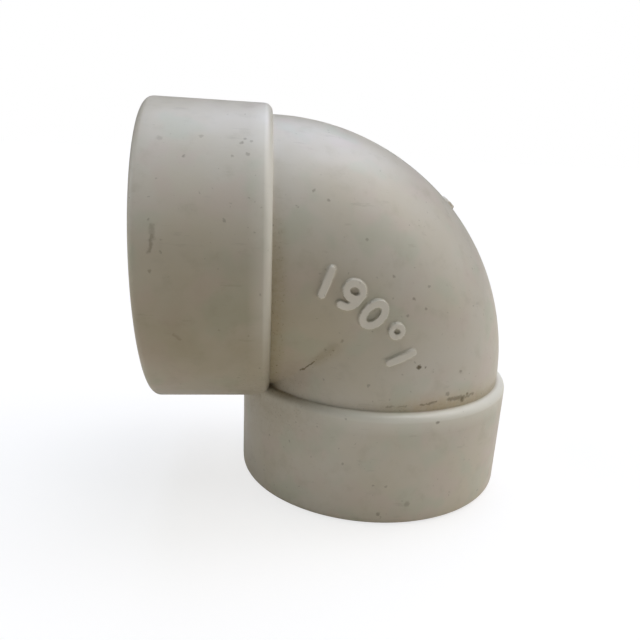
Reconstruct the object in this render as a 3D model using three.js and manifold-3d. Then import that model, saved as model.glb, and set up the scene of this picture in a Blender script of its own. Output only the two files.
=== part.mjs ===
// A 90 degree push-fit elbow for 100 mm PVC drain pipe.
// Two plain sockets leave a short-radius bend, one to the side (-X) and one downwards (-Z).
// Each socket has a stop ledge for the pipe's end and a groove that holds a rubber lip seal.
// The elbow stands on the mouth of its lower socket. Millimetres, +Z up.
import * as THREE from 'three';
import { mergeVertices } from 'three/addons/utils/BufferGeometryUtils.js';
import Module from 'manifold-3d';

const wasm = await Module();
wasm.setup();

// Driving dimensions
const PIPE_OD = 101.6;
const BEND_RADIUS = 45; // of the centre line
const REACH = 45.5; // from the bend axis to either mouth
const SOCKET_LENGTH = 45.1; // from the shoulder to the mouth
const SOCKET_OD = 111.4; // at the shoulder
const SOCKET_DRAFT = 1.3; // growth of the outer diameter towards the mouth
const BEND_OD = 104;
const WALL = 3; // of the bend
const SHOULDER_FILLET = 3;
const MOUTH_ROUNDING = 2.7;

// Inside a socket, with distances measured from the shoulder towards the mouth
const PIPE_CLEARANCE = 0.6; // on the diameter
const STOP_DEPTH = 8.5; // where the pipe's end rests on the ledge
const GROOVE_START = 31.5;
const GROOVE_WIDTH = 8;
const GROOVE_DEPTH = 2.6;
const MOUTH_CHAMFER = { width: 0.9, length: 2.4 };
const BORE_RELIEF = 0.25; // radial step between the bend's bore and the socket's
const RELIEF_REACH = 0.9; // how far that step lies past the shoulder, in the bend

// The lip seal
const SEAL_GAP = 0.3; // to the groove
const SEAL_BACK = 1.6; // radial thickness of the ring in the groove
const LIP_REACH = 1.2; // how far the lip stands into the pipe's path
const LIP_WIDTH = 1;

// The bend's level curves are superellipses around the bend axis. Their exponent is high near
// the axis, where the two legs meet in a crease, and 2 further out, where they are circles.
const CREASE_EXPONENT = 14;
const CREASE_END = 60; // distance from the bend axis where the crease is gone

// The raised angle mark on one side: the digits 90, a degree ring and a bar at each end
const MARK = { radius: 49.3, height: 11.4, stroke: 2.8, relief: 1.2 };
const MARK_ANGLES = { leftBar: 69, nine: 58, zero: 46.3, ring: 35.2, rightBar: 24.5 };
const DIGIT_WIDTH = 8.6;
const BOWL_HEIGHT = 7.8; // of the nine
const DEGREE_RING = { radius: 3, hole: 0.9, height: 2.6 }; // its centre is height above the mark's middle
const GATE = { radius: 3.2, relief: 1.1, angle: 44.5 }; // stub of the moulding gate

const SEGMENTS = 48; // of every full circle
const BEND_SEGMENTS = 46; // of the bend's full turn
// Degrees, where the segments start. They differ, so that no edges of joined solids meet exactly.
const START = { side: 0, lower: 0.5, bend: 45.7 };
const ARC_STEPS = 4; // of each small rounding
const GLYPH_STEPS = 7; // of each half of a digit's curves
const WELD = 1e-4; // points nearer than this are one
const BEND_OVERLAP = 1.4; // how far the bend's solid runs past its axis into each socket
const CUT_PAST = 1; // how far a cutting solid runs out past the mouth

// Places
const MOUTH_RADIUS = (SOCKET_OD + SOCKET_DRAFT) / 2;
const BEND_X = (REACH - BEND_RADIUS - MOUTH_RADIUS) / 2;
const BEND_Z = REACH;
const SHOULDER = REACH - SOCKET_LENGTH; // from the bend axis
const BORE_RADIUS = (PIPE_OD + PIPE_CLEARANCE) / 2;

// Solids

function solidOf(geometry) {
  const bare = geometry.clone();
  bare.deleteAttribute('normal');
  bare.deleteAttribute('uv');
  const merged = mergeVertices(bare, WELD);
  const corners = merged.index.array;
  const triangles = [];
  for (let i = 0; i < corners.length; i += 3) {
    const [a, b, c] = corners.slice(i, i + 3);
    if (a !== b && b !== c && c !== a) triangles.push(a, b, c);
  }
  return new wasm.Manifold(new wasm.Mesh({
    numProp: 3,
    vertProperties: new Float32Array(merged.attributes.position.array),
    triVerts: new Uint32Array(triangles),
  }));
}

function meshOf(name, solid, material) {
  const { vertProperties, triVerts } = solid.getMesh();
  const geometry = new THREE.BufferGeometry();
  geometry.setAttribute('position', new THREE.BufferAttribute(vertProperties, 3));
  geometry.setIndex(new THREE.BufferAttribute(triVerts, 1));
  geometry.computeVertexNormals();
  const mesh = new THREE.Mesh(geometry, material);
  mesh.name = name;
  return mesh;
}

function turned(profile, start, segments = SEGMENTS) {
  const points = profile.map(([r, s]) => new THREE.Vector2(r, s));
  return new THREE.LatheGeometry(points, segments, THREE.MathUtils.degToRad(start));
}

// A rounding as points [r, s], between two angles in degrees
function rounding(centreR, centreS, radius, from, to) {
  const points = [];
  for (let i = 0; i <= ARC_STEPS; i++) {
    const angle = THREE.MathUtils.degToRad(from + ((to - from) * i) / ARC_STEPS);
    points.push([centreR + radius * Math.cos(angle), centreS + radius * Math.sin(angle)]);
  }
  return points;
}

// A socket is drawn along its own +Y, from the shoulder at 0, and then put on one leg
const toSide = (geometry) =>
  geometry.rotateZ(Math.PI / 2).translate(BEND_X - SHOULDER, 0, BEND_Z + BEND_RADIUS);
const toLower = (geometry) =>
  geometry.rotateX(-Math.PI / 2).translate(BEND_X + BEND_RADIUS, 0, BEND_Z - SHOULDER);

function socketOutside(start) {
  const profile = [
    [0, 0],
    ...rounding(SOCKET_OD / 2 - SHOULDER_FILLET, SHOULDER_FILLET, SHOULDER_FILLET, -90, 0),
    ...rounding(MOUTH_RADIUS - MOUTH_ROUNDING, SOCKET_LENGTH - MOUTH_ROUNDING, MOUTH_ROUNDING, 0, 90),
    [0, SOCKET_LENGTH],
  ];
  return turned(profile, start);
}

function socketInside(start) {
  const past = SOCKET_LENGTH + CUT_PAST;
  const relieved = BEND_OD / 2 - WALL + BORE_RELIEF;
  const profile = [
    [0, -RELIEF_REACH],
    [relieved, -RELIEF_REACH],
    [relieved, STOP_DEPTH],
    [BORE_RADIUS, STOP_DEPTH],
    [BORE_RADIUS, GROOVE_START],
    [BORE_RADIUS + GROOVE_DEPTH, GROOVE_START],
    [BORE_RADIUS + GROOVE_DEPTH, GROOVE_START + GROOVE_WIDTH],
    [BORE_RADIUS, GROOVE_START + GROOVE_WIDTH],
    [BORE_RADIUS, SOCKET_LENGTH - MOUTH_CHAMFER.length],
    [BORE_RADIUS + MOUTH_CHAMFER.width, SOCKET_LENGTH],
    [BORE_RADIUS + MOUTH_CHAMFER.width, past],
    [0, past],
  ];
  return turned(profile, start);
}

function sealRing(start) {
  const outer = BORE_RADIUS + GROOVE_DEPTH - SEAL_GAP;
  const inner = outer - SEAL_BACK;
  const back = GROOVE_START + SEAL_GAP;
  const front = GROOVE_START + GROOVE_WIDTH - SEAL_GAP;
  const lip = BORE_RADIUS - LIP_REACH;
  const profile = [
    [inner, back],
    [outer, back],
    [outer, front],
    [inner, front],
    [lip + LIP_WIDTH / 2, back + 2 * LIP_WIDTH],
    [lip, back + 1.5 * LIP_WIDTH],
    [lip, back + LIP_WIDTH],
    [lip + LIP_WIDTH / 2, back + LIP_WIDTH / 2],
    [inner, back + 2 * LIP_WIDTH],
    [inner, back],
  ];
  return turned(profile, start);
}

// The bend

function levelExponent(distance) {
  const share = Math.max(0, 1 - distance / CREASE_END);
  return 2 + (CREASE_EXPONENT - 2) * share * share;
}

// One quarter turn of a tube around the bend axis, which lies along Y through BEND_X, BEND_Z.
// It runs a little way, overlap, into each socket.
function bendSolid(tubeRadius, overlap) {
  const ring = [];
  for (let i = 0; i <= SEGMENTS; i++) {
    const angle = Math.PI * ((2 * i) / SEGMENTS - 1);
    ring.push([BEND_RADIUS + tubeRadius * Math.cos(angle), tubeRadius * Math.sin(angle)]);
  }
  const first = ring.findIndex(([distance]) => distance > 0);
  const [inside, outside] = [ring[first - 1], ring[first]];
  const crossing = inside[1] + ((outside[1] - inside[1]) * -inside[0]) / (outside[0] - inside[0]);
  const kept = ring.filter(([distance]) => distance > 0);
  const profile = [[0, crossing], ...kept, [0, -crossing]];
  const geometry = turned(profile, START.bend, BEND_SEGMENTS);
  const place = geometry.attributes.position;
  for (let i = 0; i < place.count; i++) {
    const [x, z] = [place.getX(i), place.getZ(i)];
    const distance = Math.hypot(x, z);
    if (distance < WELD) continue;
    const p = levelExponent(distance);
    const stretch = (Math.abs(x / distance) ** p + Math.abs(z / distance) ** p) ** (-1 / p);
    place.setXYZ(i, x * stretch, place.getY(i), z * stretch);
  }
  const reach = 2 * (BEND_RADIUS + tubeRadius);
  const middle = reach / 2 - overlap;
  const quarter = new THREE.BoxGeometry(reach, reach, reach).translate(middle, 0, middle);
  return solidOf(geometry).intersect(solidOf(quarter)).translate(BEND_X, 0, BEND_Z);
}

// The raised mark

function loop(halfWidth, halfHeight, centreV) {
  return new THREE.Path().absellipse(0, centreV, halfWidth, halfHeight, 0, 2 * Math.PI, false, 0);
}

function hoop(halfWidth, halfHeight, centreV) {
  const shape = new THREE.Shape(loop(halfWidth, halfHeight, centreV).getPoints(2 * GLYPH_STEPS));
  shape.holes.push(loop(halfWidth - MARK.stroke, halfHeight - MARK.stroke, centreV));
  return shape;
}

function barShape() {
  const [u, v] = [MARK.stroke / 2, MARK.height / 2];
  return new THREE.Shape([[-u, -v], [u, -v], [u, v], [-u, v]].map(([x, y]) => new THREE.Vector2(x, y)));
}

// The tail of the nine, from the right of its bowl down to the left
function tailShape(halfWidth, bowlV) {
  const low = -MARK.height / 2;
  const shape = new THREE.Shape();
  shape.moveTo(halfWidth, bowlV);
  shape.quadraticCurveTo(halfWidth, low, -halfWidth + MARK.stroke, low);
  shape.lineTo(-halfWidth + MARK.stroke, low + MARK.stroke);
  shape.quadraticCurveTo(halfWidth - MARK.stroke, low + MARK.stroke, halfWidth - MARK.stroke, bowlV);
  return shape;
}

// Stands a flat shape on the bend's -Y side, its top pointing away from the bend axis
function standing(shape, degrees) {
  const angle = THREE.MathUtils.degToRad(degrees);
  const across = new THREE.Vector3(Math.sin(angle), 0, -Math.cos(angle));
  const up = new THREE.Vector3(Math.cos(angle), 0, Math.sin(angle));
  const out = new THREE.Vector3(0, -1, 0);
  const prism = new THREE.ExtrudeGeometry(shape, {
    depth: BEND_OD, bevelEnabled: false, curveSegments: GLYPH_STEPS,
  });
  prism.applyMatrix4(new THREE.Matrix4().makeBasis(across, up, out));
  prism.translate(BEND_X + MARK.radius * up.x, 0, BEND_Z + MARK.radius * up.z);
  return solidOf(prism);
}

function markSolid() {
  const digitHalfWidth = DIGIT_WIDTH / 2;
  const bowl = { halfHeight: BOWL_HEIGHT / 2, centre: (MARK.height - BOWL_HEIGHT) / 2 };
  const { radius, hole, height } = DEGREE_RING;
  const ringShape = new THREE.Shape(loop(radius, radius, height).getPoints(2 * GLYPH_STEPS));
  ringShape.holes.push(loop(hole, hole, height));
  const glyphs = [
    standing(barShape(), MARK_ANGLES.leftBar),
    standing(hoop(digitHalfWidth, bowl.halfHeight, bowl.centre), MARK_ANGLES.nine),
    standing(tailShape(digitHalfWidth, bowl.centre), MARK_ANGLES.nine),
    standing(hoop(digitHalfWidth, MARK.height / 2, 0), MARK_ANGLES.zero),
    standing(ringShape, MARK_ANGLES.ring),
    standing(barShape(), MARK_ANGLES.rightBar),
  ];
  const prisms = glyphs.reduce((all, glyph) => all.add(glyph));
  return prisms.intersect(bendSolid(BEND_OD / 2 + MARK.relief, 0));
}

// The gate was cut off near the middle of the bend's outside, on the mould's parting plane
function gateSolid() {
  const stub = new THREE.CylinderGeometry(GATE.radius, GATE.radius, 2 * WALL, SEGMENTS / 4);
  stub.translate(0, BEND_RADIUS + BEND_OD / 2 + GATE.relief - WALL, 0);
  stub.rotateZ(-Math.PI / 2).rotateY(-THREE.MathUtils.degToRad(GATE.angle));
  return solidOf(stub.translate(BEND_X, 0, BEND_Z));
}

function elbowBody() {
  const outside = solidOf(toSide(socketOutside(START.side)))
    .add(solidOf(toLower(socketOutside(START.lower))))
    .add(bendSolid(BEND_OD / 2, BEND_OVERLAP))
    .add(markSolid())
    .add(gateSolid());
  const inside = solidOf(toSide(socketInside(START.side)))
    .add(solidOf(toLower(socketInside(START.lower))))
    .add(bendSolid(BEND_OD / 2 - WALL, 0));
  return outside.subtract(inside);
}

const pvc = new THREE.MeshStandardMaterial({ color: 0xc9c5b8, roughness: 0.45, metalness: 0 });
const rubber = new THREE.MeshStandardMaterial({ color: 0x1d1c1b, roughness: 0.7, metalness: 0 });

const group = new THREE.Group();
group.add(
  meshOf('elbow_body', elbowBody(), pvc),
  meshOf('side_seal_ring', solidOf(toSide(sealRing(START.side))), rubber),
  meshOf('lower_seal_ring', solidOf(toLower(sealRing(START.lower))), rubber),
);

export default group;
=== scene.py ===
"""A 90 degree push-fit drain elbow in aged off-white PVC, with a rubber lip seal in each socket."""
import math

import bmesh
import bpy
import numpy as np
from mathutils import Matrix, Vector, noise


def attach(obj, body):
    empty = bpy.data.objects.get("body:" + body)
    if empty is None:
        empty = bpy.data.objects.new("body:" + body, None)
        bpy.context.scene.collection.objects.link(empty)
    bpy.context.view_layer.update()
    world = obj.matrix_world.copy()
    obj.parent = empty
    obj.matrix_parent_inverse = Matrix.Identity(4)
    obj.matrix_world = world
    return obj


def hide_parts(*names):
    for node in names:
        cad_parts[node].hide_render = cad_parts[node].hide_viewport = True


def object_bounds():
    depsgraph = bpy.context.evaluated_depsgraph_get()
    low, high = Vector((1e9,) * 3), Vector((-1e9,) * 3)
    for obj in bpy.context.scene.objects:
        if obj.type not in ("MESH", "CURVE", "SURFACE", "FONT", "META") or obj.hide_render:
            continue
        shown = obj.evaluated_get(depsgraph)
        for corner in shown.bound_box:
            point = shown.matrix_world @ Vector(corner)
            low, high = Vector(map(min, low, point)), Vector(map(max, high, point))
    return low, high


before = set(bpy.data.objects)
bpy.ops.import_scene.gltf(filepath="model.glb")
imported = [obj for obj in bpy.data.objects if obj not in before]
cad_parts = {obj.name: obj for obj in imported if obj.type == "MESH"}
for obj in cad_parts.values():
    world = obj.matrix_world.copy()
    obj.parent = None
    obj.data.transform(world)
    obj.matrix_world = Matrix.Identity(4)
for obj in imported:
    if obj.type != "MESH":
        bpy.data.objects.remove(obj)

cad_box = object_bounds()
MM = 0.001

# The elbow's own dimensions, as in the CAD
BEND_RADIUS = 45 * MM
BEND_OUTER = 52 * MM
BEND_BORE = 49 * MM
BEND_BORE_RELIEF = 0.25 * MM  # radial step from the bend's bore to the socket's
SOCKET_RADIUS = 55.7 * MM
PARTING_ROOM = 0.15 * MM  # kept free inside the CAD's box for the parting line
MOUTH_RADIUS = cad_box[1].y - PARTING_ROOM
REACH = cad_box[1].x - cad_box[0].x - BEND_RADIUS - cad_box[1].y  # from the bend axis to a mouth
SHOULDER = 0.4 * MM  # from the bend axis
SOCKET_LENGTH = REACH - SHOULDER
PIPE_BORE = 51.1 * MM
STOP_DEPTH = 8.5 * MM
GROOVE = {"start": 31.5 * MM, "end": 39.5 * MM, "radius": 53.7 * MM}
CHAMFER = {"width": 0.9 * MM, "length": 2.4 * MM}
CREASE_EXPONENT = 14  # of the bend's level curve at the bend axis, where the crease is sharpest
CREASE_END = 60 * MM  # from the bend axis, where the level curves are round
BEND_AXIS = Vector((cad_box[0].x + REACH, 0, cad_box[0].z + REACH))

# The raised mark, and where each of its glyphs stands, in degrees around the bend axis
MARK = {
    "radius": 49.3 * MM,
    "height": 11.4 * MM,
    "stroke": 2.8 * MM,
    "relief": 1.2 * MM,
    "edge": 0.3 * MM,
}
MARK_ANGLES = {"left_bar": 69, "nine": 58, "zero": 46.3, "ring": 35.2, "right_bar": 24.5}
DIGIT_WIDTH = 8.6 * MM
BOWL_HEIGHT = 7.8 * MM
DEGREE_RING = {"radius": 3 * MM, "hole": 0.9 * MM, "height": 2.6 * MM}
GATE = {"angle": 44.5, "radius": 3.2 * MM, "relief": 1.0 * MM, "tilt": 0.08}
PARTING = {"height": 0.09 * MM, "half_width": 0.22 * MM}

# Noise on the surface, each with its height, its scale in waves to the metre and its seed
WAVINESS = (0.05 * MM, 45, 1)
TEAR = (0.12 * MM, 900, 2)

# Spacing of the mesh. It is closer where the mark is, at the parting line and at the gate's edge
PARTING_COLUMNS = (0.1, 0.22, 0.75, 1.5, 2.3, 3.0, 3.2, 3.4, 3.8)  # mm from the parting line
LEAST_TURN = 0.08  # degrees between two columns
GATE_REACH = 2.4  # degrees along the bend
ROW_LENGTH = 5 * MM
BORE_ROWS = 25
POLE_GAP = 1e-5  # columns nearer to the bend axis than this give way to the poles
WELD = 0.012 * MM
SAME_POINT = 1e-7


# Outlines


def rounded(corners, turn_step=math.radians(12)):
    """A polyline through corners (s, r, radius), with each corner cut to an arc of its radius."""
    points = [np.array(corners[0][:2])]
    for before, (s, r, radius), after in zip(corners, corners[1:], corners[2:]):
        corner = np.array((s, r))
        back = np.array(before[:2]) - corner
        ahead = np.array(after[:2]) - corner
        back = back / np.linalg.norm(back)
        ahead = ahead / np.linalg.norm(ahead)
        half = math.acos(np.clip(back @ ahead, -1, 1)) / 2
        middle = (back + ahead) / np.linalg.norm(back + ahead)
        centre = corner + middle * radius / math.sin(half)
        first = corner + back * radius / math.tan(half) - centre
        last = corner + ahead * radius / math.tan(half) - centre
        turn = math.pi - 2 * half
        steps = max(2, round(turn / turn_step))
        for i in range(steps + 1):
            a = turn * i / steps
            points.append(centre + (first * math.sin(turn - a) + last * math.sin(a)) / math.sin(turn))
    points.append(np.array(corners[-1][:2]))
    return np.array(points)


def filled(points, longest):
    """The same polyline with points added, so that no stretch is over longest."""
    out = [points[0]]
    for a, b in zip(points, points[1:]):
        steps = max(1, math.ceil(np.linalg.norm(b - a) / longest))
        out += [a + (b - a) * i / steps for i in range(1, steps + 1)]
    return np.array(out)


def stretches(*parts):
    """Sorted values that fill each (start, end, step)."""
    values = set()
    for start, end, step in parts:
        count = max(1, round((end - start) / step))
        values |= {round(start + (end - start) * i / count, 6) for i in range(count + 1)}
    return sorted(values)


def around():
    """Angles round a socket or the tube: 0 is furthest from the bend axis, and a right angle is -Y."""
    coarse = stretches((-180, 0, 2), (0, 72, 2), (72, 102, 0.5), (102, 180, 2))
    fine = []
    for middle in (0, 180):
        for offset in PARTING_COLUMNS:
            angle = math.degrees(offset * MM / BEND_OUTER)
            fine += [middle - angle, middle + angle]
    wrapped = {round((a + 180) % 360 - 180, 6) for a in coarse + fine}
    kept = []
    for angle in sorted(wrapped):
        if not kept or angle - kept[-1] > LEAST_TURN:
            kept.append(angle)
    return np.radians(kept)


# Surfaces


def grid_faces(rows, columns, closed):
    """Quads of a grid of points, row by row. A closed grid joins its last column to its first."""
    across = columns if closed else columns - 1
    i, j = np.meshgrid(np.arange(rows - 1), np.arange(across), indexing="ij")
    right = (j + 1) % columns
    row, next_row = i * columns, (i + 1) * columns
    quads = np.stack([row + j, row + right, next_row + right, next_row + j], -1)
    return quads.reshape(-1, 4).tolist()


def turned(profile, angles):
    """Points of a profile (s, r) turned round the side socket's axis."""
    s, r = profile[:, 0][:, None], profile[:, 1][:, None]
    x = np.broadcast_to(-SHOULDER - s, (len(profile), len(angles)))
    points = np.stack([x, -r * np.sin(angles), BEND_RADIUS + r * np.cos(angles)], -1)
    return points.reshape(-1, 3)


def swapped(points):
    """Points of the side socket taken to the lower one, or back."""
    return points[:, [2, 1, 0]]


def level_exponent(distance):
    """The exponent of the bend's level curve at a distance from its axis: 2 is round, more is squarer."""
    share = np.clip(1 - distance / CREASE_END, 0, None)
    return 2 + (CREASE_EXPONENT - 2) * share**2


def bend_surface(tube_radius, turns, angles):
    """Points and faces of the bend's tube, relative to the bend axis, where its two poles close it.

    The turns are in degrees round the bend axis, and the angles in radians round the tube.
    """
    distance = BEND_RADIUS + tube_radius * np.cos(angles)
    kept = distance > POLE_GAP
    distance, height = distance[kept], -tube_radius * np.sin(angles[kept])
    pole = math.sqrt(tube_radius**2 - BEND_RADIUS**2)
    theta = np.radians(turns)[:, None]
    p = level_exponent(distance)[None, :]
    stretch = (np.abs(np.cos(theta)) ** p + np.abs(np.sin(theta)) ** p) ** (-1 / p)
    x = distance * stretch * np.cos(theta)
    z = distance * stretch * np.sin(theta)
    points = np.stack([x, np.broadcast_to(height, x.shape), z], -1).reshape(-1, 3)
    rows, columns = x.shape
    faces = grid_faces(rows, columns, closed=False)
    for end, y in ((0, pole), (columns - 1, -pole)):
        points = np.vstack([points, (0, y, 0)])
        faces += [[i * columns + end, (i + 1) * columns + end, len(points) - 1] for i in range(rows - 1)]
    return points, faces


def socket_outline():
    """From the bend's outside, round the mouth, to the bend's bore."""
    corners = [
        (-SHOULDER, BEND_OUTER, 0),
        (0, BEND_OUTER, 0.3 * MM),
        (0, SOCKET_RADIUS, 3 * MM),
        (SOCKET_LENGTH, MOUTH_RADIUS, 2.7 * MM),
        (SOCKET_LENGTH, PIPE_BORE + CHAMFER["width"], 0.25 * MM),
        (SOCKET_LENGTH - CHAMFER["length"], PIPE_BORE, 0.5 * MM),
        (GROOVE["end"], PIPE_BORE, 0.25 * MM),
        (GROOVE["end"], GROOVE["radius"], 0.6 * MM),
        (GROOVE["start"], GROOVE["radius"], 0.6 * MM),
        (GROOVE["start"], PIPE_BORE, 0.25 * MM),
        (STOP_DEPTH, PIPE_BORE, 0.4 * MM),
        (STOP_DEPTH, BEND_BORE + BEND_BORE_RELIEF, 0.5 * MM),
        (2 * MM, BEND_BORE + BEND_BORE_RELIEF, 2 * MM),
        (-SHOULDER, BEND_BORE, 0),
    ]
    return filled(rounded(corners), ROW_LENGTH)


def cut_by_mitre(points, faces):
    """Cuts the side socket by the plane halfway between both sockets' axes, and keeps its own side."""
    mesh = bmesh.new()
    verts = [mesh.verts.new(p) for p in points]
    for face in faces:
        mesh.faces.new([verts[i] for i in face])
    everything = mesh.verts[:] + mesh.edges[:] + mesh.faces[:]
    bmesh.ops.bisect_plane(
        mesh, geom=everything, dist=1e-8, plane_co=(0, 0, 0), plane_no=(1, 0, -1), clear_outer=True
    )
    mesh.verts.index_update()
    kept_points = np.array([v.co for v in mesh.verts])
    kept_faces = [[v.index for v in face.verts] for face in mesh.faces]
    mesh.free()
    return kept_points, kept_faces


def joined_mesh(name, parts, weld):
    """One mesh of several (points, faces), welded, with its faces turned outwards."""
    mesh = bmesh.new()
    for points, faces in parts:
        verts = [mesh.verts.new(p) for p in points]
        for face in faces:
            mesh.faces.new([verts[i] for i in face])
    bmesh.ops.remove_doubles(mesh, verts=mesh.verts, dist=weld)
    bmesh.ops.dissolve_degenerate(mesh, edges=mesh.edges, dist=SAME_POINT)
    bmesh.ops.recalc_face_normals(mesh, faces=mesh.faces)
    data = bpy.data.meshes.new(name)
    mesh.to_mesh(data)
    mesh.free()
    data.shade_smooth()
    piece = bpy.data.objects.new(name, data)
    bpy.context.collection.objects.link(piece)
    return piece


# The raised mark


def ellipse(half_width, half_height, centre_v):
    """A closed line of points (u, v) round (0, centre_v)."""
    a = np.radians(np.linspace(0, 360, 49))
    return np.stack([half_width * np.cos(a), centre_v + half_height * np.sin(a)], -1)


def glyph_lines():
    """Each glyph's stroke width and centre lines, as points (u, v) with v away from the bend axis."""
    half = MARK["stroke"] / 2
    top = MARK["height"] / 2
    wide = DIGIT_WIDTH / 2 - half
    bowl_v = top - BOWL_HEIGHT / 2
    bar = np.array([(0, half - top), (0, top - half)])
    tail_end = half - DIGIT_WIDTH / 2 + half
    t = np.linspace(0, 1, 25)[:, None]
    start, turn, end = np.array([(wide, bowl_v), (wide, half - top), (tail_end, half - top)])
    tail = (1 - t) ** 2 * start + 2 * t * (1 - t) * turn + t**2 * end
    ring_stroke = DEGREE_RING["radius"] - DEGREE_RING["hole"]
    ring_middle = (DEGREE_RING["radius"] + DEGREE_RING["hole"]) / 2
    return {
        "left_bar": (2 * half, [bar]),
        "nine": (2 * half, [ellipse(wide, BOWL_HEIGHT / 2 - half, bowl_v), tail]),
        "zero": (2 * half, [ellipse(wide, top - half, 0)]),
        "ring": (ring_stroke, [ellipse(ring_middle, ring_middle, DEGREE_RING["height"])]),
        "right_bar": (2 * half, [bar]),
    }


def distance_to_line(uv, line):
    """Each point's distance to a polyline."""
    best = np.full(len(uv), np.inf)
    for a, b in zip(line, line[1:]):
        along = b - a
        t = np.clip((uv - a) @ along / (along @ along), 0, 1)[:, None]
        best = np.minimum(best, np.linalg.norm(uv - a - t * along, axis=1))
    return best


def smooth(low, high, value):
    """0 below low, 1 above high, and smooth between them."""
    t = np.clip((value - low) / (high - low), 0, 1)
    return t * t * (3 - 2 * t)


def mark_share(points):
    """How much each point, given relative to the bend axis, lies on the raised mark: 0 to 1."""
    share = np.zeros(len(points))
    flat = points[:, [0, 2]]
    for name, (stroke, lines) in glyph_lines().items():
        angle = math.radians(MARK_ANGLES[name])
        up = np.array([math.cos(angle), math.sin(angle)])
        across = np.array([math.sin(angle), -math.cos(angle)])
        local = flat - MARK["radius"] * up
        uv = np.stack([local @ across, local @ up], -1)
        near = (np.abs(uv) < MARK["height"]).all(1) & (points[:, 1] < -0.8 * BEND_OUTER)
        for line in lines:
            gap = distance_to_line(uv[near], line) - stroke / 2
            share[near] = np.maximum(share[near], 1 - smooth(-MARK["edge"] / 2, MARK["edge"] / 2, gap))
    return share


# Shape changes on the finished surface


def noise_at(points, kind):
    """Noise at each point, of a kind given as its height, scale and seed."""
    height, scale, seed = kind
    offset = Vector((seed * 7.3, seed * 3.1, seed * 5.7))
    return height * np.array([noise.noise(Vector(p) * scale + offset) for p in points])


def gate_place(points):
    """Each point's place on the gate: along the bend, across it, and outwards from the bend axis."""
    angle = math.radians(GATE["angle"])
    along = points @ np.array([math.sin(angle), 0, -math.cos(angle)])
    outwards = points @ np.array([math.cos(angle), 0, math.sin(angle)])
    return along, points[:, 1], outwards


def surface_lift(points, outside):
    """How far each point of the body moves along its normal."""
    lift = np.zeros(len(points))
    lift[outside] += noise_at(points[outside], WAVINESS)
    lift[outside] += MARK["relief"] * mark_share(points[outside])
    # the ridge where the mould's halves met
    ridge = PARTING["height"] * (1 - smooth(0, PARTING["half_width"], np.abs(points[:, 1])))
    lift[outside] += ridge[outside]
    # the gate's torn stub, with a flat, tilted top
    along, across, outwards = gate_place(points)
    from_gate = np.hypot(along, across)
    near = outside & (outwards > BEND_RADIUS) & (from_gate < 2 * GATE["radius"])
    tube = along**2 / (2 * (BEND_RADIUS + BEND_OUTER)) + across**2 / (2 * BEND_OUTER)
    torn = (GATE["relief"] + GATE["tilt"] * along + tube)[near] + noise_at(points[near], TEAR)
    edge = 0.2 * MM
    lift[near] += torn * (1 - smooth(GATE["radius"] - edge, GATE["radius"] + edge, from_gate[near]))
    return lift


def store(data, name, values):
    """Keeps one value for each vertex, as an attribute that the material reads."""
    layer = data.attributes.new(name, "FLOAT", "POINT")
    layer.data.foreach_set("value", values.astype(np.float32))


def make_elbow():
    """The body's mesh: both sockets, and the bend's outside and bore, welded into one."""
    angles = around()
    gate = (GATE["angle"] - GATE_REACH, GATE["angle"] + GATE_REACH, 0.25)
    turns = stretches((0, 4, 1), (4, 20, 2), (20, 72, 0.5), (72, 86, 2), (86, 90, 1), gate)
    outline = socket_outline()
    side = cut_by_mitre(turned(outline, angles), grid_faces(len(outline), len(angles), True))
    lower = (swapped(side[0]), side[1])
    outer = bend_surface(BEND_OUTER, np.array(turns), angles)
    inner = bend_surface(BEND_BORE, np.linspace(0, 90, BORE_ROWS), angles)
    piece = joined_mesh("elbow", [side, lower, outer, inner], WELD)
    data = piece.data
    co = np.empty(len(data.vertices) * 3)
    normals = np.empty(len(data.vertices) * 3)
    data.vertices.foreach_get("co", co)
    data.vertices.foreach_get("normal", normals)
    co, normals = co.reshape(-1, 3), normals.reshape(-1, 3)
    outside = outside_mask(co)
    store(data, "mark", mark_share(co) * outside)
    # the shoulders' rounding, for a painted highlight
    store(data, "shoulder_highlight", shoulder_share(co) * outside)
    co = co + normals * surface_lift(co, outside)[:, None]
    data.vertices.foreach_set("co", (co + np.array(BEND_AXIS)).ravel())
    data.update()
    return piece


def shoulder_share(points):
    """How far each point lies on a shoulder's rounding, where a painted highlight lightens it: 0 to 1."""
    x, y, z = points.T
    share = np.zeros(len(points))
    for along, away, amount in ((x, z, 0.6), (z, x, 1)):
        radius = np.hypot(y, away - BEND_RADIUS)
        depth = -SHOULDER - along
        past_corner = smooth(BEND_OUTER + 0.2 * MM, BEND_OUTER + 1.2 * MM, radius)
        before_side = 1 - smooth(2 * MM, 4 * MM, depth)
        within_reach = 0.35 + 0.65 * smooth(10 * MM, 45 * MM, away)  # the painted highlight fades towards the crotch
        on_socket = (along < 0) & (away > along)
        share = np.maximum(share, amount * past_corner * before_side * within_reach * on_socket)
    return share


def outside_mask(points):
    """True for points on the outside, given relative to the bend axis."""
    x, y, z = points.T
    side_r = np.hypot(y, z - BEND_RADIUS)
    lower_r = np.hypot(y, x - BEND_RADIUS)
    tube_r = np.hypot(y, np.hypot(x, z) - BEND_RADIUS)
    middle = (BEND_OUTER + BEND_BORE) / 2
    wall = (SOCKET_RADIUS + GROOVE["radius"]) / 2
    on_side = (x < 0) & (z > x)
    on_lower = (z < 0) & (x >= z)
    on_bend = ~on_side & ~on_lower
    # near the shoulder a socket's outside starts at the bend's own radius
    side_limit = np.where(x > -STOP_DEPTH, middle, wall)
    lower_limit = np.where(z > -STOP_DEPTH, middle, wall)
    # beside the bend axis the crease lies further in than a round tube's outside
    crease = on_bend & (np.hypot(x, z) < BEND_OUTER - BEND_RADIUS + 20 * MM) & (np.abs(y) > 22 * MM)
    return (
        (on_side & (side_r > side_limit))
        | (on_lower & (lower_r > lower_limit))
        | (on_bend & (tube_r > middle))
        | crease
    )


# The seals


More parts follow.
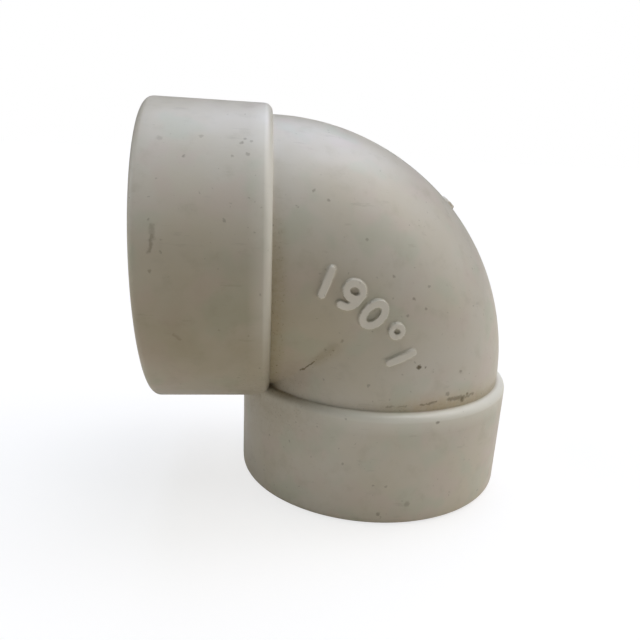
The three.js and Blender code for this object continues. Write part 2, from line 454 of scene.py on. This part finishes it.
def make_seal(name, cad_node, lower=False):
    """A ring with a rounded back in the groove and a lip that leans into the socket."""
    back, front = GROOVE["start"] + 0.3 * MM, GROOVE["end"] - 0.3 * MM
    outer = GROOVE["radius"] - 0.3 * MM
    inner, lip = outer - 1.7 * MM, PIPE_BORE - 1.2 * MM
    corners = [
        (back + 3 * MM, outer, 0),
        (back, outer, 0.5 * MM),
        (back, inner, 0.4 * MM),
        (back + 1.9 * MM, inner, 0.5 * MM),
        (back + 0.5 * MM, lip + 0.25 * MM, 0.2 * MM),
        (back + 1.1 * MM, lip, 0.35 * MM),
        (front - 1.2 * MM, inner - 0.1 * MM, 2.5 * MM),
        (front, inner + 0.1 * MM, 0.4 * MM),
        (front, outer, 0.5 * MM),
        (front - 1.2 * MM, outer, 0.3 * MM),
        (front - 1.6 * MM, outer - 0.5 * MM, 0.2 * MM),
        (front - 2.0 * MM, outer, 0.3 * MM),
        (back + 3 * MM, outer, 0),
    ]
    profile = filled(rounded(corners, math.radians(20)), 0.8 * MM)[:-1]
    angles = np.radians(np.arange(0, 360, 1.5))
    points = turned(profile, angles)
    rows = len(profile)
    faces = grid_faces(rows, len(angles), True)
    first = np.arange(len(angles))
    last = (rows - 1) * len(angles) + first
    nexts = (first + 1) % len(angles)
    faces += np.stack([last, (rows - 1) * len(angles) + nexts, nexts, first], -1).tolist()
    points = swapped(points) if lower else points
    piece = joined_mesh(name, [(points + np.array(BEND_AXIS), faces)], SAME_POINT)
    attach(piece, "root")
    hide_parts(cad_node)
    return piece


# Materials


def node(tree, kind, inputs=None, **settings):
    """A new shader node, with its settings, and its inputs given as values or as sockets to link."""
    made = tree.nodes.new("ShaderNode" + kind)
    for name, value in settings.items():
        setattr(made, name, value)
    for name, value in (inputs or {}).items():
        if isinstance(value, bpy.types.NodeSocket):
            tree.links.new(value, made.inputs[name])
        else:
            made.inputs[name].default_value = value
    return made


def empty_tree(owner):
    """The node tree of a material or the world, without its first nodes."""
    owner.use_nodes = True
    owner.node_tree.nodes.clear()
    return owner.node_tree


def new_material(name):
    """A material, its node tree, its surface and the place of each point."""
    material = bpy.data.materials.new(name)
    tree = empty_tree(material)
    surface = node(tree, "BsdfPrincipled")
    node(tree, "OutputMaterial", {"Surface": surface.outputs["BSDF"]})
    place = node(tree, "TexCoord").outputs["Object"]
    return material, tree, surface, place


def pattern(tree, place, scale, detail=4, roughness=0.55, stretch=(1, 1, 1)):
    """Noise from 0 to 1. scale is in waves to the metre."""
    mapped = node(tree, "Mapping", {"Vector": place, "Scale": stretch}).outputs["Vector"]
    inputs = {"Vector": mapped, "Scale": scale, "Detail": detail, "Roughness": roughness}
    return node(tree, "TexNoise", inputs).outputs["Fac"]


def between(tree, value, low, high, start=0.0, end=1.0):
    """value taken smoothly from low..high to start..end."""
    limits = {"Value": value, "From Min": low, "From Max": high, "To Min": start, "To Max": end}
    return node(tree, "MapRange", limits, interpolation_type="SMOOTHSTEP").outputs["Result"]


def maths(tree, operation, a, b):
    return node(tree, "Math", {0: a, 1: b}, operation=operation).outputs["Value"]


def vectors(tree, operation, inputs):
    """A vector operation's result: a number if it measures something, and else a vector."""
    measures = operation in ("DISTANCE", "DOT_PRODUCT", "LENGTH")
    made = node(tree, "VectorMath", inputs, operation=operation)
    return made.outputs["Value" if measures else "Vector"]


def x_and_z(tree, place):
    parts = node(tree, "SeparateXYZ", {"Vector": place})
    return parts.outputs["X"], parts.outputs["Z"]


def flat_length(tree, x, z):
    """The length of (x, 0, z)."""
    flat = node(tree, "CombineXYZ", {"X": x, "Z": z}).outputs["Vector"]
    return vectors(tree, "LENGTH", {0: flat})


def times(tree, first, *others):
    for other in others:
        first = maths(tree, "MULTIPLY", first, other)
    return first


def largest(tree, first, *others):
    for other in others:
        first = maths(tree, "MAXIMUM", first, other)
    return first


def mixed(tree, factor, a, b, blend="MIX"):
    """Colour a blended with colour b by a factor."""
    made = tree.nodes.new("ShaderNodeMix")
    made.data_type = "RGBA"
    made.blend_type = blend
    for socket, value in ((made.inputs[0], factor), (made.inputs[6], a), (made.inputs[7], b)):
        if isinstance(value, bpy.types.NodeSocket):
            tree.links.new(value, socket)
        elif socket.type == "RGBA":
            socket.default_value = (*value, 1)
        else:
            socket.default_value = value
    return made.outputs[2]


def warped(tree, place, scale, amount):
    """The place moved a little by noise, so that what is drawn there has a ragged edge."""
    made = node(tree, "TexNoise", {"Vector": place, "Scale": scale, "Detail": 3})
    centred = vectors(tree, "SUBTRACT", {0: made.outputs["Color"], 1: (0.5, 0.5, 0.5)})
    moved = vectors(tree, "SCALE", {0: centred, "Scale": amount})
    return vectors(tree, "ADD", {0: place, 1: moved})


def on_socket(leg, depth, degrees):
    """A point on a socket's outside, from the bend axis. Its depth is in mm from the shoulder."""
    angle = math.radians(degrees)
    radius = SOCKET_RADIUS + (MOUTH_RADIUS - SOCKET_RADIUS) * depth * MM / SOCKET_LENGTH
    out = -SHOULDER - depth * MM
    turn = BEND_RADIUS + radius * math.cos(angle)
    side = -radius * math.sin(angle)
    return (out, side, turn) if leg == "side" else (turn, side, out)


def on_bend(turn, degrees):
    """A point on the bend's outside, from the bend axis. Turn 90 is at the side socket."""
    points, _ = bend_surface(BEND_OUTER, [turn], np.radians([degrees]))
    return tuple(points[0].tolist())


# Dots of dirt, each with its place, radius in mm and strength
DOTS = [
    (on_socket("side", 38, 86), 0.8, 0.4),
    (on_socket("side", 9, 39), 0.7, 0.45),
    (on_socket("side", 7, 40), 0.7, 0.35),
    (on_socket("side", 10, 41), 0.9, 0.5),
    (on_socket("side", 13, 47), 0.8, 0.4),
    (on_socket("side", 8, 46), 0.9, 0.4),
    (on_socket("side", 23, 39), 0.9, 0.3),
    (on_socket("side", 36, 41), 1.4, 0.25),
    (on_socket("side", 28, 48), 0.7, 0.5),
    (on_bend(18, 80), 1.1, 1.0),
    (on_bend(17, 77), 0.7, 0.9),
    (on_bend(11, 61), 0.9, 0.45),
    (on_bend(80, 55), 0.9, 0.5),
    (on_bend(76, 57), 0.8, 0.45),
    (on_bend(50, 70), 0.7, 0.45),
    (on_bend(40, 70), 0.8, 0.5),
    (on_bend(35, 68), 0.8, 0.5),
    (on_bend(46, 109), 0.9, 0.4),
    (on_bend(2, 60), 1.6, 0.8),
    (on_bend(5, 68), 1.2, 0.45),
    (on_bend(3, 57), 1.0, 0.7),
    (on_socket("lower", 3, 74), 0.9, 0.6),
    (on_socket("lower", 40, 94), 1.1, 0.5),
    (on_socket("lower", 36, 83), 1.5, 0.3),
    (on_socket("lower", 28, 92), 0.8, 0.35),
]

# Streaks and lines of dirt, each with its two ends, half its width in mm and its strength
STREAKS = [
    (on_socket("side", 37, 72), on_socket("side", 37, 76), 1.2, 0.3),
    (on_socket("side", 37, 75), on_socket("side", 38, 80), 1.0, 0.45),
    (on_socket("side", 32, 108), on_socket("side", 30, 110), 0.9, 0.25),
    (on_bend(45, 130), on_bend(45, 123), 0.55, 0.9),
    (on_bend(46, 123), on_bend(47, 112), 2.2, 0.13),
    (on_bend(2.5, 80), on_bend(3, 73), 0.6, 0.6),
    (on_bend(3, 67), on_bend(2.5, 59), 1.2, 0.6),
    (on_bend(2, 60), on_bend(2.5, 53), 0.8, 0.5),
    (on_bend(2.5, 94), on_bend(2.5, 86), 0.5, 0.4),
]


def dots(tree, place):
    """The strength of the dots of dirt at a place."""
    found = []
    for middle, radius, strength in DOTS:
        away = vectors(tree, "DISTANCE", {0: place, 1: middle})
        found.append(between(tree, away, 0.35 * radius * MM, radius * MM, strength, 0.0))
    return largest(tree, *found)


def streaks(tree, place):
    """The strength of the streaks of dirt at a place, from its distance to each one's line."""
    found = []
    for start, end, half_width, strength in STREAKS:
        line = Vector(end) - Vector(start)
        from_start = vectors(tree, "SUBTRACT", {0: place, 1: start})
        share = vectors(tree, "DOT_PRODUCT", {0: from_start, 1: tuple(line / line.length_squared)})
        clamped = node(tree, "Clamp", {"Value": share}).outputs["Result"]
        along = vectors(tree, "SCALE", {0: tuple(line), "Scale": clamped})
        away = vectors(tree, "DISTANCE", {0: from_start, 1: along})
        found.append(between(tree, away, 0.2 * half_width * MM, half_width * MM, strength, 0.0))
    return largest(tree, *found)


def specks(tree, place, scale, share, radius):
    """Random specks: one in each of a share of the cells, softer and smaller as its draw is lower."""
    cells = node(tree, "TexVoronoi", {"Vector": place, "Scale": scale, "Randomness": 1.0})
    draw = node(tree, "SeparateColor", {"Color": cells.outputs["Color"]}).outputs["Red"]
    reach = between(tree, draw, 1 - share, 1.0, 0.0, radius)
    edge = maths(tree, "SUBTRACT", reach, cells.outputs["Distance"])
    return between(tree, edge, 0.0, 0.5 * radius, 0.0, 1.0)


TUBE_END = -SHOULDER + 0.15 * MM  # where the bend's outside meets a shoulder, for the dirt, dust and painted shade on it


def corner_dirt_and_shade(tree, axis_place):
    """Brown dirt and painted shade in the corners by the shoulders, in the crease and in the crotch: 0 to
    1.
    """
    x, z = x_and_z(tree, axis_place)
    past_side = maths(tree, "GREATER_THAN", x, TUBE_END)
    past_lower = maths(tree, "GREATER_THAN", z, TUBE_END)
    beside = between(tree, x, 0.5 * MM, 9 * MM, 0.9, 0.0)
    side = times(tree, beside, between(tree, z, 40 * MM, 90 * MM, 0.75, 0.1))
    above = between(tree, z, 0.3 * MM, 7 * MM, 0.62, 0.0)
    lower = times(tree, above, between(tree, x, 5 * MM, 60 * MM, 0.4, 0.8))
    off_mitre = maths(tree, "ABSOLUTE", maths(tree, "SUBTRACT", x, z), 0.0)
    out = maths(tree, "ADD", x, z)
    crease = times(
        tree,
        between(tree, off_mitre, 0.0, 8 * MM, 0.5, 0.0),
        between(tree, out, 20 * MM, 34 * MM),
        between(tree, out, 38 * MM, 62 * MM, 1.0, 0.0),
    )
    crotch = between(tree, flat_length(tree, x, z), 4 * MM, 44 * MM, 0.42, 0.0)
    on_tube = times(tree, largest(tree, side, lower, crease), past_side, past_lower)
    return largest(tree, on_tube, crotch)


def sand(tree, axis_place):
    """Tan dust that has settled on the bend's outside above the lower shoulder: 0 to 1."""
    x, z = x_and_z(tree, axis_place)
    on_tube = maths(tree, "GREATER_THAN", z, TUBE_END)
    return times(
        tree,
        on_tube,
        between(tree, z, 1 * MM, 9 * MM, 1.0, 0.0),
        between(tree, x, 35 * MM, 60 * MM),
        between(tree, x, 72 * MM, 90 * MM, 1.0, 0.3),
    )


def shade_over_front(tree, axis_place):
    """Painted shade over the middle of the front and the back: 0 to 1."""
    centre = (-20 * MM, 30 * MM)
    reach = (76 * MM, 42 * MM)
    scaled = []
    for value, middle, half in zip(x_and_z(tree, axis_place), centre, reach):
        scaled.append(times(tree, maths(tree, "SUBTRACT", value, middle), 1 / half))
    return between(tree, flat_length(tree, *scaled), 0.15, 1.15, 1.0, 0.0)


# The PVC's colours, then those of the wear, dirt, painted shade and painted highlight on it
CREAM = (0.66, 0.635, 0.57)
YELLOWED = (0.635, 0.60, 0.505)
PINKISH = (0.655, 0.585, 0.53)
GREENISH = (0.565, 0.60, 0.50)
SMUDGED = (0.50, 0.475, 0.385)
SCUFFED = (0.42, 0.40, 0.33)
FRONT_SHADE_TINT = (0.59, 0.55, 0.45)  # painted shade over the front and the back; multiplies what is under it
# painted highlight on the shoulders' rounding
HIGHLIGHT_PALE = (0.88, 0.88, 0.80)
MARK_TOP = (0.78, 0.755, 0.68)
# brown dirt with painted shade in the corners, the crease and the crotch
BROWN_DIRT_AND_SHADE = (0.36, 0.30, 0.18)
TAN_DUST = (0.56, 0.45, 0.27)
DARK_CRUMB = (0.13, 0.10, 0.05)
# dirt with painted shade along the mark's sloping walls
RIM_DIRT_AND_SHADE = (0.27, 0.235, 0.16)
SPECK = (0.17, 0.15, 0.105)
PLACED_DIRT = (0.12, 0.09, 0.04)


def plastic_colour(tree, place, axis_place):
    """Aged off-white, with soft pink and green mottling, smudges and scuffs."""
    clouds = between(tree, pattern(tree, place, 26, 3), 0.3, 0.7)
    pink = between(tree, pattern(tree, axis_place, 70, 2, 0.4), 0.5, 0.68, 0.0, 0.55)
    shifted = node(tree, "Mapping", {"Vector": place, "Location": (3, 1, 2)}).outputs["Vector"]
    green = between(tree, pattern(tree, shifted, 80, 2, 0.4), 0.52, 0.7, 0.0, 0.5)
    smudge = between(tree, pattern(tree, place, 140, 5, 0.62), 0.5, 0.78, 0.0, 0.4)
    scuff = between(tree, pattern(tree, place, 300, 4, 0.6, (0.25, 1, 1.6)), 0.62, 0.74, 0.0, 0.3)
    colour = mixed(tree, clouds, CREAM, YELLOWED)
    for share, shade in ((pink, PINKISH), (green, GREENISH), (smudge, SMUDGED), (scuff, SCUFFED)):
        colour = mixed(tree, share, colour, shade)
    return colour


def shade_and_highlight_colour(tree, place, axis_place, colour, mark):
    """The colour with painted shade over the front and back, a painted highlight on the shoulders'
    rounding, and lighter on top of the mark.
    """
    # painted shade over the middle of the front and the back
    uneven = between(tree, pattern(tree, place, 45, 4), 0.2, 0.8, 0.8, 1.0)
    front_shade = times(tree, shade_over_front(tree, axis_place), uneven)
    colour = mixed(tree, front_shade, colour, FRONT_SHADE_TINT, "MULTIPLY")
    # painted highlight on the shoulders' rounding
    shoulder_highlight = node(tree, "Attribute", attribute_name="shoulder_highlight").outputs["Fac"]
    colour = mixed(tree, times(tree, shoulder_highlight, 0.88), colour, HIGHLIGHT_PALE)
    return mixed(tree, times(tree, mark, 0.8), colour, MARK_TOP)


def pvc_material():
    material, tree, surface, place = new_material("aged_pvc")
    axis_place = vectors(tree, "SUBTRACT", {0: place, 1: BEND_AXIS})
    ragged = warped(tree, axis_place, 700, 1.8 * MM)
    fine = pattern(tree, place, 520, 6, 0.68)
    mark = node(tree, "Attribute", attribute_name="mark").outputs["Fac"]

    # dirt here holds painted shade as well as dirt, in the corners, the crease and the crotch
    dirt = corner_dirt_and_shade(tree, axis_place)
    caught_dirt_and_shade = between(tree, times(tree, dirt, maths(tree, "ADD", fine, 0.5)), 0.12, 0.95)
    dust = times(tree, sand(tree, axis_place), between(tree, fine, 0.3, 0.6, 0.5, 1.0))
    scattered = between(tree, pattern(tree, place, 1100, 5, 0.7), 0.58, 0.68)
    crumbs = times(tree, scattered, between(tree, dirt, 0.25, 0.5))
    # a dark rim on the mark's sloping walls: dirt with painted shade
    rim = times(tree, mark, maths(tree, "SUBTRACT", 1.0, mark), 3.6)
    rim = times(tree, rim, between(tree, fine, 0.35, 0.65, 0.1, 0.6))
    small = times(tree, specks(tree, ragged, 260.0, 0.22, 0.2), 0.4)
    tiny = times(tree, specks(tree, ragged, 520.0, 0.2, 0.24), 0.3)
    placed = largest(tree, dots(tree, ragged), streaks(tree, ragged))

    colour = plastic_colour(tree, place, axis_place)
    colour = shade_and_highlight_colour(tree, place, axis_place, colour, mark)
    for share, shade in (
        # brown dirt with painted shade in the corners, the crease and the crotch
        (times(tree, caught_dirt_and_shade, 0.8), BROWN_DIRT_AND_SHADE),
        (times(tree, dust, 0.6), TAN_DUST),
        (times(tree, crumbs, 0.6), DARK_CRUMB),
        # dirt with painted shade on the mark's walls
        (rim, RIM_DIRT_AND_SHADE),
        (largest(tree, small, tiny), SPECK),
        (times(tree, placed, 0.9), PLACED_DIRT),
    ):
        colour = mixed(tree, share, colour, shade)
    tree.links.new(colour, surface.inputs["Base Color"])

    rough = between(tree, pattern(tree, place, 180, 5), 0.3, 0.75, 0.33, 0.47)
    rough = maths(tree, "ADD", rough, times(tree, largest(tree, caught_dirt_and_shade, placed), 0.25))
    tree.links.new(rough, surface.inputs["Roughness"])
    surface.inputs["IOR"].default_value = 1.53

    grain = times(tree, pattern(tree, place, 1700, 3), 0.05)
    waves = times(tree, pattern(tree, place, 110, 3), 0.45)
    scratches = times(tree, pattern(tree, place, 420, 4, 0.7, (0.3, 1, 2)), 0.12)
    height = maths(tree, "ADD", maths(tree, "ADD", grain, waves), scratches)
    height = maths(tree, "SUBTRACT", height, times(tree, placed, 0.25))
    bump = node(tree, "Bump", {"Height": height, "Strength": 0.4, "Distance": 0.4 * MM})
    tree.links.new(bump.outputs["Normal"], surface.inputs["Normal"])
    return material


def rubber_material():
    material, tree, surface, place = new_material("seal_rubber")
    black = (0.018, 0.018, 0.019)
    dusty = (0.09, 0.085, 0.075)
    dust = between(tree, pattern(tree, place, 240, 6, 0.7), 0.5, 0.75)
    colour = mixed(tree, times(tree, dust, 0.5), black, dusty)
    tree.links.new(colour, surface.inputs["Base Color"])
    tree.links.new(between(tree, dust, 0, 1, 0.5, 0.75), surface.inputs["Roughness"])
    grain = pattern(tree, place, 1800, 3)
    bump = node(tree, "Bump", {"Height": grain, "Strength": 0.3, "Distance": 0.3 * MM})
    tree.links.new(bump.outputs["Normal"], surface.inputs["Normal"])
    return material


# The stage


def make_camera():
    """The camera stands a little above the elbow, close to it, and looks down at it."""
    data = bpy.data.cameras.new("camera")
    data.lens = 35.5
    data.sensor_width = 36
    data.shift_y = 0.125
    data.clip_start = 0.01
    camera = bpy.data.objects.new("camera", data)
    place = BEND_AXIS + Vector((-2.7, -257.1, 89.2)) * MM
    yaw, pitch, roll = -0.0974, -0.3911, 0.0484
    heading = Matrix.Rotation(yaw, 4, "Z")
    tilt = Matrix.Rotation(math.pi / 2 + pitch, 4, "X")
    bank = Matrix.Rotation(roll, 4, "Z")
    camera.matrix_world = Matrix.Translation(place) @ (heading @ tilt @ bank)
    bpy.context.collection.objects.link(camera)
    bpy.context.scene.camera = camera


SOFTBOX_ANGLE = math.radians(50)


def softbox(name, azimuth, elevation, power, colour=(1, 1, 1)):
    """A wide, far softbox, as a broad sun. Azimuth 0 is the front (-Y), and 90 the right (+X)."""
    data = bpy.data.lights.new(name, "SUN")
    data.energy = math.pi * power
    data.angle = SOFTBOX_ANGLE
    data.color = colour
    lamp = bpy.data.objects.new(name, data)
    turn, rise = math.radians(azimuth), math.radians(elevation)
    towards = Vector((math.cos(rise) * math.sin(turn), -math.cos(rise) * math.cos(turn), math.sin(rise)))
    lamp.rotation_euler = towards.to_track_quat("Z", "Y").to_euler()
    bpy.context.collection.objects.link(lamp)


def make_lights():
    softbox("overhead", 0, 90, 0.14, (0.8, 1.0, 1.12))
    softbox("right_high", 90, 60, 0.265, (1.15, 1.01, 0.88))
    softbox("right_back_high", 155, 60, 0.37, (0.92, 0.99, 1.25))
    softbox("right_low", 90, 30, 0.14, (1.02, 1.0, 0.95))
    softbox("left_low", 270, 30, 0.2)


def make_floor():
    """Pale paper. The camera sees it brighter than it lights the elbow, as an overexposed backdrop."""
    far = 6.0
    z = cad_box[0].z
    corners = [(-far, -far, z), (far, -far, z), (far, far, z), (-far, far, z)]
    data = bpy.data.meshes.new("floor")
    data.from_pydata(corners, [], [(0, 1, 2, 3)])
    floor = bpy.data.objects.new("floor", data)
    bpy.context.collection.objects.link(floor)
    material = bpy.data.materials.new("floor_paper")
    tree = empty_tree(material)
    place = node(tree, "TexCoord").outputs["Object"]
    warm = mixed(tree, pattern(tree, place, 3, 2), (0.88, 0.82, 0.72), (0.86, 0.80, 0.70))
    lit = node(tree, "BsdfDiffuse", {"Color": warm})
    pale = node(tree, "BsdfDiffuse", {"Color": (1.0, 1.0, 1.0, 1)})
    glow = node(tree, "Emission", {"Color": (1, 1, 1, 1), "Strength": 1.08})
    share_of_glow = 0.68
    paper = node(tree, "MixShader", {0: share_of_glow, 1: pale.outputs[0], 2: glow.outputs[0]})
    seen = node(tree, "LightPath").outputs["Is Camera Ray"]
    both = node(tree, "MixShader", {0: seen, 1: lit.outputs[0], 2: paper.outputs[0]})
    node(tree, "OutputMaterial", {"Surface": both.outputs[0]})
    data.materials.append(material)


def make_world():
    """A dark room that the camera sees as a white backdrop."""
    world = bpy.data.worlds.new("studio")
    bpy.context.scene.world = world
    tree = empty_tree(world)
    room = node(tree, "Background", {"Color": (1, 1, 1, 1), "Strength": 0.02})
    backdrop = node(tree, "Background", {"Color": (1, 1, 1, 1), "Strength": 1.0})
    seen = node(tree, "LightPath").outputs["Is Camera Ray"]
    both = node(tree, "MixShader", {0: seen, 1: room.outputs[0], 2: backdrop.outputs[0]})
    node(tree, "OutputWorld", {"Surface": both.outputs[0]})


make_camera()
make_world()
make_lights()
make_floor()
bpy.context.scene.view_settings.view_transform = "Standard"

elbow = make_elbow()
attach(elbow, "root")
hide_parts("elbow_body")
elbow.data.materials.append(pvc_material())

rubber = rubber_material()
side_seal = make_seal("side_seal", "side_seal_ring")
lower_seal = make_seal("lower_seal", "lower_seal_ring", lower=True)
for seal in (side_seal, lower_seal):
    seal.data.materials.append(rubber)
